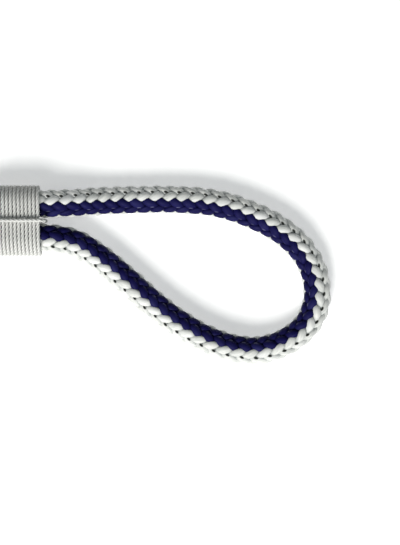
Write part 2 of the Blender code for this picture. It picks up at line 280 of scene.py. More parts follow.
class Shading:
    """The shader node groups that the finishes share, and the materials made with them."""

    def __init__(self) -> None:
        """Makes the groups once."""
        self.filaments = self._filament_group()
        self.shade = self._shade_group()
        self.painted_pinholes = self._painted_pinhole_group()
        self.made: dict[str, bpy.types.Material] = {}

    @staticmethod
    def _group(
        name: str, inputs: dict[str, str], outputs: dict[str, str]
    ) -> tuple[bpy.types.NodeTree, bpy.types.Node, bpy.types.Node]:
        """A node group with nothing in it yet.

        Args:
            name: the group's name.
            inputs: the name and the kind of each input socket.
            outputs: the name and the kind of each output socket.

        Returns:
            The group, its input node and its output node.
        """
        group = bpy.data.node_groups.new(name, "ShaderNodeTree")
        for way, sockets in (("INPUT", inputs), ("OUTPUT", outputs)):
            for label, kind in sockets.items():
                group.interface.new_socket(name=label, in_out=way, socket_type="NodeSocket" + kind)
        return group, group.nodes.new("NodeGroupInput"), group.nodes.new("NodeGroupOutput")

    @staticmethod
    def _material(name: str) -> tuple[bpy.types.Material, bpy.types.NodeTree, bpy.types.Node]:
        """A new material.

        Args:
            name: the material's name.

        Returns:
            The material, its tree and its shader.
        """
        material = bpy.data.materials.new(name)
        material.use_nodes = True
        return material, material.node_tree, material.node_tree.nodes["Principled BSDF"]

    @staticmethod
    def _maths(
        tree: bpy.types.NodeTree, operation: str, *values: float | bpy.types.NodeSocket
    ) -> bpy.types.NodeSocket:
        """A Math node on numbers or sockets.

        Args:
            tree: the tree that the node goes in.
            operation: what the node does.
            values: the node's inputs, each a number or a socket.

        Returns:
            The node's output.
        """
        node = tree.nodes.new("ShaderNodeMath")
        node.operation = operation
        for entry, value in zip(node.inputs, values):
            if isinstance(value, (int, float)):
                entry.default_value = value
            else:
                tree.links.new(value, entry)
        return node.outputs[0]

    @staticmethod
    def _mix(
        tree: bpy.types.NodeTree, factor: bpy.types.NodeSocket, a: bpy.types.NodeSocket | Colour,
        b: bpy.types.NodeSocket | Colour,
    ) -> bpy.types.NodeSocket:
        """A colour Mix node.

        Args:
            tree: the tree that the node goes in.
            factor: how much of the second colour shows.
            a: the first colour, or its socket.
            b: the second colour, or its socket.

        Returns:
            The mixed colour's socket.
        """
        node = tree.nodes.new("ShaderNodeMix")
        node.data_type = "RGBA"
        tree.links.new(factor, node.inputs[0])
        first_colour, second_colour, mixed = node.inputs[6], node.inputs[7], node.outputs[2]
        for entry, value in ((first_colour, a), (second_colour, b)):
            if isinstance(value, tuple):
                entry.default_value = (*value, 1.0)
            else:
                tree.links.new(value, entry)
        return mixed

    def _filament_group(self) -> bpy.types.NodeTree:
        """Fine lines that run along a yarn: noise drawn out along it.

        Returns:
            The group. It puts out Streak, from 0 to 1, and Height for a Bump node.
        """
        group, source, result = self._group(
            "yarn_filaments",
            {"UV": "Vector", "Count": "Float", "Tone": "Float"},
            {"Streak": "Float", "Height": "Float"},
        )
        split = group.nodes.new("ShaderNodeSeparateXYZ")
        group.links.new(source.outputs["UV"], split.inputs[0])
        along = self._maths(group, "MULTIPLY", split.outputs[0], 1.6)
        across = self._maths(group, "MULTIPLY", split.outputs[1], source.outputs["Count"])
        depth = self._maths(group, "MULTIPLY", source.outputs["Tone"], 37.0)
        place = group.nodes.new("ShaderNodeCombineXYZ")
        for entry, value in zip(place.inputs, (along, across, depth)):
            group.links.new(value, entry)
        noise = group.nodes.new("ShaderNodeTexNoise")
        noise.inputs["Scale"].default_value = 1.5
        noise.inputs["Detail"].default_value = 3.0
        noise.inputs["Roughness"].default_value = 0.6
        group.links.new(place.outputs[0], noise.inputs["Vector"])
        group.links.new(map_range(group, noise.outputs[0], (0.34, 0.66)), result.inputs["Streak"])
        group.links.new(noise.outputs[0], result.inputs["Height"])
        return group

    def _shade_group(self) -> bpy.types.NodeTree:
        """A yarn's colour: painted shade where it tucks under, and varied from stitch to stitch.

        Returns:
            The group. It puts out Color.
        """
        inputs = dict.fromkeys(("Lit", "Shade", "Glint"), "Color")
        inputs |= dict.fromkeys(("Streak", "Streaks", "Tone", "Depth"), "Float")
        group, source, result = self._group("yarn_shade", inputs, {"Color": "Color"})
        # Painted shade where the yarn tucks under its neighbours
        shade_share = self._maths(group, "POWER", source.outputs["Depth"], 1.6)
        base = self._mix(group, shade_share, source.outputs["Lit"], source.outputs["Shade"])
        dark = self._maths(group, "MULTIPLY", source.outputs["Streak"], source.outputs["Streaks"])
        lined = self._mix(group, dark, base, source.outputs["Shade"])
        bright = self._maths(group, "SUBTRACT", source.outputs["Tone"], 0.6)
        bright = self._maths(group, "MULTIPLY", bright, 1.2)
        bright = self._maths(group, "MAXIMUM", bright, 0.0)
        lined = self._mix(group, bright, lined, source.outputs["Glint"])
        group.links.new(lined, result.inputs["Color"])
        return group

    def _painted_pinhole_group(self) -> bpy.types.NodeTree:
        """A spot painted at the pinhole beside a stitch where three meet: painted shade on the white yarn.

        Returns:
            The group. It puts out Mask, which is 1 in the painted spot.
        """
        group, source, result = self._group(
            "yarn_painted_pinholes", {"UV": "Vector", "Tone": "Float", "Range": "Float"}, {"Mask": "Float"}
        )
        split = group.nodes.new("ShaderNodeSeparateXYZ")
        group.links.new(source.outputs["UV"], split.inputs[0])
        squares = []
        for output, (middle, reach) in zip(split.outputs, PAINTED_PINHOLE):
            away = self._maths(group, "SUBTRACT", output, middle)
            away = self._maths(group, "DIVIDE", away, reach)
            squares.append(self._maths(group, "MULTIPLY", away, away))
        near = map_range(group, self._maths(group, "ADD", *squares), (0.5, 1.3), (1.0, 0.0), soft=True)
        faint = self._maths(group, "SUBTRACT", 1.0, source.outputs["Tone"])
        faint = self._maths(group, "MULTIPLY", faint, source.outputs["Range"])
        strong = self._maths(group, "SUBTRACT", 1.0, faint)
        group.links.new(self._maths(group, "MULTIPLY", near, strong), result.inputs["Mask"])
        return group

    def yarn(self, finish: YarnFinish) -> bpy.types.Material:
        """The material of a yarn or twine.

        Args:
            finish: its colours and filaments.

        Returns:
            The material, made once.
        """
        if finish.name in self.made:
            return self.made[finish.name]
        material, tree, shader = self._material(finish.name)
        uv = tree.nodes.new("ShaderNodeUVMap")
        uv.uv_map = "yarn"
        tone, depth = tree.nodes.new("ShaderNodeAttribute"), tree.nodes.new("ShaderNodeAttribute")
        tone.attribute_name = "yarn_tone"
        depth.attribute_name = "yarn_depth"
        lines = tree.nodes.new("ShaderNodeGroup")
        lines.node_tree = self.filaments
        lines.inputs["Count"].default_value = finish.filaments
        tree.links.new(uv.outputs[0], lines.inputs["UV"])
        tree.links.new(tone.outputs["Fac"], lines.inputs["Tone"])
        # The yarn's colour, with painted shade where it tucks under
        colour = tree.nodes.new("ShaderNodeGroup")
        colour.node_tree = self.shade
        colour.inputs["Lit"].default_value = (*finish.colour, 1.0)
        colour.inputs["Shade"].default_value = (*finish.shade, 1.0)
        colour.inputs["Glint"].default_value = (*finish.glint, 1.0)
        colour.inputs["Streaks"].default_value = finish.streaks
        tree.links.new(lines.outputs["Streak"], colour.inputs["Streak"])
        tree.links.new(tone.outputs["Fac"], colour.inputs["Tone"])
        tree.links.new(depth.outputs["Fac"], colour.inputs["Depth"])
        # The spot painted at each pinhole: painted shade on the white yarn, a pale spot on the navy
        painted_pinholes = tree.nodes.new("ShaderNodeGroup")
        painted_pinholes.node_tree = self.painted_pinholes
        painted_pinholes.inputs["Range"].default_value = finish.pinhole_paint_varies
        tree.links.new(uv.outputs[0], painted_pinholes.inputs["UV"])
        tree.links.new(tone.outputs["Fac"], painted_pinholes.inputs["Tone"])
        with_painted_pinhole = self._mix(tree, painted_pinholes.outputs["Mask"], colour.outputs["Color"], finish.pinhole_paint)
        tree.links.new(with_painted_pinhole, shader.inputs["Base Color"])
        rough = self._maths(tree, "MULTIPLY_ADD", lines.outputs["Streak"], 0.16, finish.roughness - 0.08)
        tree.links.new(rough, shader.inputs["Roughness"])
        bump = tree.nodes.new("ShaderNodeBump")
        bump.inputs["Strength"].default_value = 0.9
        bump.inputs["Distance"].default_value = finish.bump
        tree.links.new(lines.outputs["Height"], bump.inputs["Height"])
        tree.links.new(bump.outputs[0], shader.inputs["Normal"])
        shader.inputs["Specular IOR Level"].default_value = finish.gloss
        self.made[finish.name] = material
        return material

    def melted(self, finish: MeltFinish) -> bpy.types.Material:
        """The material of a melted end: both yarns' colours run together.

        Args:
            finish: its colours and roughness.

        Returns:
            The material, made once.
        """
        if finish.name in self.made:
            return self.made[finish.name]
        material, tree, shader = self._material(finish.name)
        where = tree.nodes.new("ShaderNodeTexCoord")
        noise = tree.nodes.new("ShaderNodeTexNoise")
        noise.inputs["Scale"].default_value = 260.0
        noise.inputs["Detail"].default_value = 4.0
        noise.inputs["Distortion"].default_value = 1.2
        tree.links.new(where.outputs["Object"], noise.inputs["Vector"])
        patches = map_range(tree, noise.outputs[0], (0.47, 0.58))
        colour = self._mix(tree, patches, finish.white, finish.navy)
        tree.links.new(colour, shader.inputs["Base Color"])
        rough = self._maths(tree, "MULTIPLY_ADD", noise.outputs[0], 0.3, finish.roughness)
        tree.links.new(rough, shader.inputs["Roughness"])
        bump = tree.nodes.new("ShaderNodeBump")
        bump.inputs["Distance"].default_value = 0.0002
        tree.links.new(noise.outputs[0], bump.inputs["Height"])
        tree.links.new(bump.outputs[0], shader.inputs["Normal"])
        self.made[finish.name] = material
        return material

    def floor(self, finish: FloorFinish) -> bpy.types.Material:
        """The material of the floor.

        Args:
            finish: its colour, and how much it glows to keep the shadows light.

        Returns:
            The material.
        """
        material, _, shader = self._material(finish.name)
        shader.inputs["Base Color"].default_value = (*finish.colour, 1.0)
        shader.inputs["Roughness"].default_value = finish.roughness
        shader.inputs["Specular IOR Level"].default_value = 0.0
        shader.inputs["Emission Color"].default_value = (1.0, 1.0, 1.0, 1.0)
        shader.inputs["Emission Strength"].default_value = finish.glow
        return material


# Lines


def smooth_step(share: np.ndarray) -> np.ndarray:
    """A share from 0 to 1 that starts and ends softly."""
    share = np.clip(share, 0.0, 1.0)
    return share * share * (3.0 - 2.0 * share)


def smooth_route(points: list[Vector], pieces: int = 16) -> np.ndarray:
    """The smooth curve through a route's points.

    Args:
        points: the route's points.
        pieces: how many short steps each stretch between two points gets.

    Returns:
        The curve's points, one row each.
    """
    curve = []
    last = len(points) - 1
    for i in range(last):
        before, here = points[max(i - 1, 0)], points[i]
        there, after = points[i + 1], points[min(i + 2, last)]
        reach = (there - here).length
        leave = (there - before).normalized() * reach
        arrive = (after - here).normalized() * reach
        for j in range(pieces):
            t = j / pieces
            curve.append(
                here * (2 * t**3 - 3 * t**2 + 1)
                + leave * (t**3 - 2 * t**2 + t)
                + there * (3 * t**2 - 2 * t**3)
                + arrive * (t**3 - t**2)
            )
    curve.append(points[last])
    return np.array([tuple(p) for p in curve])


def measured(points: np.ndarray) -> np.ndarray:
    """How far along a line each of its points lies."""
    return np.concatenate([[0.0], np.cumsum(np.linalg.norm(np.diff(points, axis=0), axis=1))])


def spaced(points: np.ndarray, step: float) -> np.ndarray:
    """A line again, with its points evenly spaced.

    Args:
        points: the line's points.
        step: about how far apart the new points are.

    Returns:
        The new points.
    """
    along = measured(points)
    at = np.linspace(0.0, along[-1], max(2, math.ceil(along[-1] / step) + 1))
    return np.stack([np.interp(at, along, points[:, k]) for k in range(3)], axis=1)


def unit(vectors: np.ndarray) -> np.ndarray:
    """Each row made one long."""
    return vectors / np.maximum(np.linalg.norm(vectors, axis=1, keepdims=True), 1e-12)


def lifted(points: list[Point]) -> list[Vector]:
    """Route points as vectors: the third value runs from the surface to the seizing's height."""
    return [Vector((x, y, ROPE_RADIUS + lift * (SEIZED_Z - ROPE_RADIUS))) for x, y, lift in points]


class RopeLine:
    """The line down the middle of the rope, with the directions across it."""

    def __init__(self, points: np.ndarray, step: float = 0.001) -> None:
        """Spaces the line evenly and finds its directions.

        Args:
            points: the line, roughly.
            step: how far apart its stations are.
        """
        self.points = spaced(points, step)
        self.along = measured(self.points)
        self.length = float(self.along[-1])
        ahead = unit(np.gradient(self.points, axis=0))
        self.outward = unit(np.cross(ahead, (0.0, 0.0, 1.0)))
        self.upward = np.cross(self.outward, ahead)
        self.turn = np.zeros(len(self.points))

    def set_turns(self, along: list[float], degrees: list[float]) -> None:
        """Turns the braid about the line by so much at each of some places."""
        self.turn = np.radians(np.interp(self.along, along, degrees))

    def at(self, along: np.ndarray, values: np.ndarray) -> np.ndarray:
        """Values kept at the stations, read off at any places along the line.

        Args:
            along: the places.
            values: a number or a vector for each station.

        Returns:
            The number or the vector at each place.
        """
        if values.ndim == 1:
            return np.interp(along, self.along, values)
        return np.stack([np.interp(along, self.along, values[:, k]) for k in range(3)], axis=-1)

    def place(self, along: np.ndarray, angle: np.ndarray, radius: np.ndarray) -> np.ndarray:
        """Points on or in the rope.

        Args:
            along: how far along the line.
            angle: round the line: 0 is the loop's outer side and a quarter turn is the top.
            radius: how far from the line.

        Returns:
            The points, with a last axis of three.
        """
        turned = angle - self.at(along, self.turn)
        out = self.at(along, self.outward) * np.cos(turned)[..., None]
        up = self.at(along, self.upward) * np.sin(turned)[..., None]
        return self.at(along, self.points) + (out + up) * np.asarray(radius)[..., None]


# Meshes


def tube_faces(heights: list[float], sides: int) -> tuple[list[Face], list[Corner]]:
    """The faces between the rings of an open tube.

    Args:
        heights: each ring's place along the yarn, in the UV.
        sides: how many points each ring has.

    Returns:
        The faces, and the UV of each of their corners: along the yarn, and round it.
    """
    faces, uvs = [], []
    for j, (low, high) in enumerate(zip(heights, heights[1:])):
        for k in range(sides):
            n = (k + 1) % sides
            faces.append((j * sides + k, j * sides + n, (j + 1) * sides + n, (j + 1) * sides + k))
            uvs += [(low, k / sides), (low, (k + 1) / sides), (high, (k + 1) / sides), (high, k / sides)]
    return faces, uvs


def closed_tube_faces(heights: list[float], sides: int) -> tuple[list[Face], list[Corner]]:
    """The faces of a tube with flat ends.

    Args:
        heights: each ring's place along the yarn, in the UV.
        sides: how many points each ring has.

    Returns:
        The faces, and the UV of each of their corners.
    """
    faces, uvs = tube_faces(heights, sides)
    last = (len(heights) - 1) * sides
    faces.append(tuple(reversed(range(sides))))
    faces.append(tuple(last + k for k in range(sides)))
    uvs += [(0.0, 0.0)] * (2 * sides)
    return faces, uvs


def yarn_piece(
    name: str, points: np.ndarray, faces: list[Face], uvs: np.ndarray, tone: np.ndarray, depth: np.ndarray
) -> bpy.types.Object:
    """A smooth piece of yarn with what its material reads.

    Args:
        name: the piece's name.
        points: the mesh's points.
        faces: its faces.
        uvs: the UV of each face's corners.
        tone: how pale each point is.
        depth: how far each point is sunk between its neighbours; the material paints shade by it.

    Returns:
        The piece, with no material yet.
    """
    mesh = bpy.data.meshes.new(name)
    mesh.from_pydata(points.tolist(), [], faces)
    mesh.uv_layers.new(name="yarn").data.foreach_set("uv", uvs.astype(np.float32).ravel())
    for label, values in (("yarn_tone", tone), ("yarn_depth", depth)):
        mesh.attributes.new(label, "FLOAT", "POINT").data.foreach_set("value", values.astype(np.float32))
    mesh.shade_smooth()
    piece = bpy.data.objects.new(name, mesh)
    bpy.context.scene.collection.objects.link(piece)
    return piece


# Braid


@dataclass(frozen=True)
class Stitch:
    """One yarn stitch, before it is laid on the rope.

    It rides highest at its crown, and its ends sink from there by up to its tuck. Point and blunt say how
    slim its ends are, and full how long it keeps its height. Crown and rings are shares of its half length.
    """

    half_length: float = 0.0041
    half_width: float = 0.00196
    half_height: float = 0.00135
    ride: float = 0.00480
    tuck: float = 0.00125
    crown: float = 0.15
    point: float = 0.85
    blunt: float = 0.42
    full: float = 0.30
    rings: tuple[float, ...] = (-0.88, -0.60, -0.22, 0.20, 0.60, 0.88)
    sides: int = 8

    def shape(self) -> tuple[np.ndarray, np.ndarray, np.ndarray]:
        """The stitch's points.

        Returns:
            How far along the yarn each point is, how far across it, and how far from the rope's middle. The
            first end leads: it is slimmer and tucks under its neighbours further than the other.
        """
        share = np.repeat(np.array(self.rings), self.sides)
        angle = np.tile(np.arange(self.sides) * 2 * math.pi / self.sides - math.pi / 2, len(self.rings))
        wide = (1 - share**2) ** np.where(share < 0, self.point, self.blunt)
        high = (1 - share**2) ** self.full
        middle = self.ride - self.tuck * ((share - self.crown) / (1 + self.crown)) ** 2
        along = share * self.half_length
        across = self.half_width * wide * np.cos(angle)
        radius = middle + self.half_height * high * np.sin(angle)
        ends = np.array([-1.0, 1.0])
        low = self.ride - self.tuck * ((ends - self.crown) / (1 + self.crown)) ** 2
        return (
            np.concatenate([along, ends * self.half_length]),
            np.concatenate([across, (0.0, 0.0)]),
            np.concatenate([radius, low]),
        )

    def faces(self) -> tuple[list[Face], list[Corner]]:
        """The stitch's faces.

        Returns:
            The faces, and the UV of each of their corners: along the yarn, and round it.
        """
        sides = self.sides
        height = [(s + 1) / 2 for s in self.rings]
        faces, uvs = tube_faces(height, sides)
        first = len(self.rings) * sides
        last, top = first + 1, first - sides
        for k in range(sides):
            n = (k + 1) % sides
            middle = (k + 0.5) / sides
            faces.append((first, n, k))
            uvs += [(0.0, middle), (height[0], (k + 1) / sides), (height[0], k / sides)]
            faces.append((last, top + k, top + n))
            uvs += [(1.0, middle), (height[-1], k / sides), (height[-1], (k + 1) / sides)]
        return faces, uvs


@dataclass(frozen=True)
class LaidStitches:
    """The stitches of a stretch of the rope.

    Tone and depth have a value for each point. Odd, which is 1 in an odd column, and yarn have one for each
    stitch.
    """

    points: np.ndarray
    tone: np.ndarray
    depth: np.ndarray
    odd: np.ndarray
    yarn: np.ndarray


@dataclass
class Braid:
    """The braid of the rope: columns of stitches that lean to and fro, over a core.

    Columns are angles in degrees, widths are shares of a stitch's, and first is the first stitch's place in
    pitches. What is named varies is the range of a chance difference between stitches.
    """

    line: RopeLine
    shading: Shading
    columns: tuple[int, ...] = (0, 36, 72, 110, 150, 187, 220, 254, 290, 325)
    widths: tuple[float, ...] = (1.0, 1.0, 1.0, 1.06, 1.10, 1.0, 0.92, 1.0, 1.0, 1.0)
    navy: tuple[int, ...] = (3, 4, 7, 8)
    pitch: float = 0.47 * ROPE_DIAMETER
    first: float = 0.25
    lean: float = math.radians(25.0)
    core_radius: float = 0.0042
    core_sides: int = 12
    core_step: float = 0.0030
    core_tone: float = 0.5
    depth_past_core: float = 0.0004
    seed: int = 12
    lean_varies: float = math.radians(5.0)
    width_varies: float = 0.10
    place_varies: float = 0.0004
    angle_varies: float = 0.05
    height_varies: float = 0.00022
    draws: np.ndarray = field(init=False)

    def __post_init__(self) -> None:
        """Draws each stitch's small differences, for the whole rope at once."""
        rows = math.ceil(self.line.length / self.pitch) + 1
        self.draws = np.random.default_rng(self.seed).random((rows, len(self.columns), 6))

    def _lay(self, start: float, stop: float, stitch: Stitch) -> LaidStitches:
        """Places the stitches of one stretch of the rope.

        Args:
            start: where the stretch starts along the line.
            stop: where it stops.
            stitch: the stitch to lay.

        Returns:
            The laid stitches.
        """
        row, column = np.meshgrid(
            np.arange(self.draws.shape[0]), np.arange(len(self.columns)), indexing="ij"
        )
        middle = (row + 0.5 * (column % 2) + self.first) * self.pitch
        here = (middle >= start) & (middle < stop)
        row, column, middle = row[here], column[here], middle[here]
        draw = self.draws[row, column]
        give = draw - 0.5
        along, across, radius = stitch.shape()
        way = np.where(column % 2 == 1, -1.0, 1.0)
        lean = (way * self.lean + give[:, 0] * self.lean_varies)[:, None]
        wide = across[None] * (np.array(self.widths)[column] + give[:, 1] * self.width_varies)[:, None]
        x = along[None] * np.cos(lean) - wide * np.sin(lean)
        y = along[None] * np.sin(lean) + wide * np.cos(lean)
        place = np.clip(middle[:, None] + x + give[:, 2:3] * self.place_varies, 0.0, self.line.length)
        angle = np.radians(self.columns)[column][:, None] + y / stitch.ride + give[:, 3:4] * self.angle_varies
        high = radius[None] + give[:, 4:5] * self.height_varies
        # How far each point is sunk below the crest; the material paints shade by it
        crest = stitch.ride + stitch.half_height
        depth = np.clip((crest - radius) / (crest - self.core_radius + self.depth_past_core), 0.0, 1.0)
        return LaidStitches(
            points=self.line.place(place, angle, high).reshape(-1, 3),
            tone=np.repeat(draw[:, 5], len(along)),
            depth=np.tile(depth, len(row)),
            odd=column % 2,
            yarn=np.where(np.isin(column, self.navy), Yarn.NAVY.value, Yarn.WHITE.value),
        )

    def _core(self, start: float, stop: float) -> tuple[np.ndarray, np.ndarray, list[Face], np.ndarray]:
        """The tube under the stitches, near black as painted shade for the gaps between them.

        Args:
            start: where it starts along the line.
            stop: where it stops.

        Returns:
            The middles of its rings, its points, its faces, and the UV of each of their corners.
        """
        count = max(2, round((stop - start) / self.core_step))
        along = np.linspace(start, stop, count + 1)
        angle = np.arange(self.core_sides) * 2 * math.pi / self.core_sides
        grid = np.broadcast_to(along[:, None], (count + 1, self.core_sides))
        radius = np.full(grid.shape, self.core_radius)
        points = self.line.place(grid, np.broadcast_to(angle, grid.shape), radius)
        faces, uvs = closed_tube_faces(list(range(count + 1)), self.core_sides)
        path = self.line.at(along, self.line.points)
        return path, points.reshape(-1, 3), faces, np.array(uvs, float) + (CORE_UV_START, 0.0)

    def build(
        self, name: str, start: float, stop: float, stitch: Stitch
    ) -> tuple[bpy.types.Object, list[list[float]]]:
        """One piece of the rope, as a mesh.

        Args:
            name: the piece's name.
            start: where it starts along the line.
            stop: where it stops.
            stitch: the stitch that it is braided from.

        Returns:
            The piece, and the points that it follows.
        """
        laid = self._lay(start, stop, stitch)
        path, core, core_faces, core_uvs = self._core(start, stop)
        form, form_uvs = stitch.faces()
        size = len(stitch.shape()[0])
        count = len(laid.yarn)
        faces = [tuple(i * size + v for v in f) for i in range(count) for f in form]
        faces += [tuple(count * size + v for v in f) for f in core_faces]
        uvs = np.tile(np.array(form_uvs), (count, 1, 1))
        uvs[laid.odd == 0, :, 0] += CLEAR_OF_PAINTED_PINHOLE
        extra = np.full(len(core), self.core_tone)
        piece = yarn_piece(
            name,
            np.concatenate([laid.points, core]),
            faces,
            np.concatenate([uvs.reshape(-1, 2), core_uvs]),
            np.concatenate([laid.tone, extra]),
            np.concatenate([laid.depth, extra]),
        )
        stuff = [np.repeat(laid.yarn, len(form)), np.full(len(core_faces), Yarn.CORE.value)]
        piece.data.polygons.foreach_set("material_index", np.concatenate(stuff).astype(np.int32))
        for finish in (WHITE_YARN, NAVY_YARN, CORE_PAINTED_SHADE):
            piece.data.materials.append(self.shading.yarn(finish))
        return piece, path.tolist()


# Twine


@dataclass(frozen=True)
class Twine:
    """A three-ply twine. Its lobe and end taper are shares, and its step and lay are in diameters."""

    diameter: float
    plies: int = 3
    sides: int = 12
    lobe: float = 0.13
    step: float = 0.5
    lay: float = 3.2
    end_taper: float = 0.55
    tone: float = 0.4

    def wind(self, name: str, points: np.ndarray, shading: Shading) -> bpy.types.Object:
        """Lays the twine along a line.

        Args:
            name: the piece's name.
            points: the line.
            shading: where its material comes from.

        Returns:
            The piece: a closed tube whose plies twist round it.
        """
        line = spaced(points, self.diameter * self.step)
        ahead = unit(np.gradient(line, axis=0))
        slanting = (0.3, 0.2, 0.9)  # no twine starts in this direction
        side = np.cross(ahead[0], slanting)
        sides = []
        for direction in ahead:
            side = side - direction * float(side @ direction)
            side = side / np.linalg.norm(side)
            sides.append(side)
        right = np.array(sides)
        up = np.cross(ahead, right)
        along = measured(line)
        angle = np.arange(self.sides) * 2 * math.pi / self.sides
        radius = self.diameter / 2 * (1 - self.lobe + self.lobe * np.cos(self.plies * angle))
        turned = angle[None] + along[:, None] * 2 * math.pi / (self.diameter * self.lay)
        ring = right[:, None] * np.cos(turned)[..., None] + up[:, None] * np.sin(turned)[..., None]
        taper = np.ones(len(line))
        taper[[0, -1]] = self.end_taper
        grid = line[:, None] + ring * (radius[None] * taper[:, None])[..., None]
        faces, uvs = closed_tube_faces((CLEAR_OF_PAINTED_PINHOLE + along / self.diameter).tolist(), self.sides)
        # How deep each point lies between the plies; the material paints shade by it
        crest = self.diameter / 2
        depth = np.tile((crest - radius) / (2 * self.lobe * crest), len(line))
        tone = np.full(len(depth), self.tone)
        piece = yarn_piece(name, grid.reshape(-1, 3), faces, np.array(uvs), tone, depth)
        piece.data.materials.append(shading.yarn(TWINE))
        return piece


def around(centres: list[tuple[float, float]], radius: float, step: float = 0.0004) -> np.ndarray:
    """The closed line of a thread drawn tight round circles of one radius.

    Args:
        centres: the circles' middles, in a plane.
        radius: from each middle to the thread's own middle.
        step: how far apart the line's points are.

    Returns:
        The line's points, counter-clockwise, with the first again at the end.
    """
    steps = 48
    turns = [2 * math.pi * i / steps for i in range(steps)]
    ring = [Vector((x + radius * math.cos(a), y + radius * math.sin(a))) for x, y in centres for a in turns]
    hull = [(*ring[i], 0.0) for i in convex_hull_2d(ring)]
    line = np.array(hull + hull[:1])
    if float(np.cross(line[1, :2] - line[0, :2], line[2, :2] - line[1, :2])) < 0:
        line = line[::-1]
    return spaced(line, step)[:, :2]


# Sub-assemblies


def settle(piece: bpy.types.Object, node: str) -> bpy.types.Object:
    """Rides a finished piece on the line, in place of its CAD node.

    Args:
        piece: the finished piece.
        node: the CAD node that it stands for.

    Returns:
        The piece.
    """
    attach(piece, "root")
    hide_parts(node)
    return piece


@dataclass(frozen=True)
class Shift:
    """One move of the hank's rope from one place in the bundle to the next."""

    start: float
    stop: float
    radius: float
    layer: int


@dataclass
class Hank:
    """The made-up part of the line: an oval of turns in layers. Places along it count quarters of a turn.

    Quarter 0 is the run at +Y, then come the far fold, the run at -Y and the near fold. Each shift lies a
    little later in the turn than those above it, so that no turn moves where another still lies.
    """

    crossing: tuple[float, float] = (3.65, 4.0)
    climb: tuple[float, float] = (3.30, 3.70)
    upper_crossing: tuple[float, float] = (3.0, 3.35)
    top: tuple[float, float] = (2.70, 3.0)
    pinch_reach: float = 0.014
    last_turn: float = 35.0

    def shifts(self) -> list[Shift]:
        """Each move of the rope.

        Returns:
            The moves, in order along the rope.
        """
        outer, inner = OUTER_TURN, HANK_FOLD_RADIUS
        plan = [
            (0, self.crossing, MIDDLE_TURN, 0),
            (1, self.crossing, inner, 0),
            (2, self.climb, TOP_INNER_TURN, 1),
            (3, self.climb, TOP_OUTER_TURN, 1),
            (4, self.climb, outer, 2),
            (5, self.upper_crossing, MIDDLE_TURN, 2),
            (6, self.upper_crossing, inner, 2),
            (7, self.top, TOP_INNER_TURN, 3),
            (8, self.top, TOP_OUTER_TURN, 3),
        ]
        return [Shift(4 * turn + a, 4 * turn + b, radius, layer) for turn, (a, b), radius, layer in plan]

    def end(self) -> float:
        """Where the rope's end lies, in quarters."""
        return self.last_turn + 3.0 + (END_X - FOLD_FAR_X) / HANK_STRAIGHT

    def cuts(self) -> list[float]:
        """Where one layer's piece stops and the next starts, in quarters."""
        middles = [(s.start + s.stop) / 2 for s in self.shifts()]
        return [0.0, middles[2], middles[4], middles[7], self.last_turn, self.end()]

    def line(self, quarters: np.ndarray) -> np.ndarray:
        """The middle of the rope in the hank.

        Args:
            quarters: places along it.

        Returns:
            One point for each.
        """
        radius = np.full(len(quarters), OUTER_TURN)
        layer = np.zeros(len(quarters))
        was_radius, was_layer = OUTER_TURN, 0
        for shift in self.shifts():
            share = smooth_step((quarters - shift.start) / (shift.stop - shift.start))
            radius += (shift.radius - was_radius) * share
            layer += (shift.layer - was_layer) * share
            was_radius, was_layer = shift.radius, shift.layer
        phase = quarters % 4
        leg, share = phase.astype(int), phase % 1
        turn = math.pi * share
        x = np.select(
            [leg == 0, leg == 1, leg == 2],
            [
                FOLD_NEAR_X - HANK_STRAIGHT * share,
                FOLD_FAR_X - radius * np.sin(turn),
                FOLD_FAR_X + HANK_STRAIGHT * share,
            ],
            FOLD_NEAR_X + radius * np.sin(turn),
        )
        drawn = np.exp(-(((x - TIE_X) / self.pinch_reach) ** 2))
        lower = np.clip(HANK_LAYERS - layer, 0.0, 1.0)
        pinch = TIE_PINCH / ROPE_DIAMETER * drawn * lower
        radius = radius - (radius - MIDDLE_TURN) * pinch
        y = np.select(
            [leg == 0, leg == 1, leg == 2],
            [radius, radius * np.cos(turn), -radius],
            -radius * np.cos(turn),
        )
        under = np.clip(1 - layer / (HANK_LAYERS - 1), 0.0, 1.0)
        z = ROPE_RADIUS + layer * LAYER_PITCH + TIE_PINCH * drawn * under
        return np.stack([x, HANK_Y + y, z], axis=1)


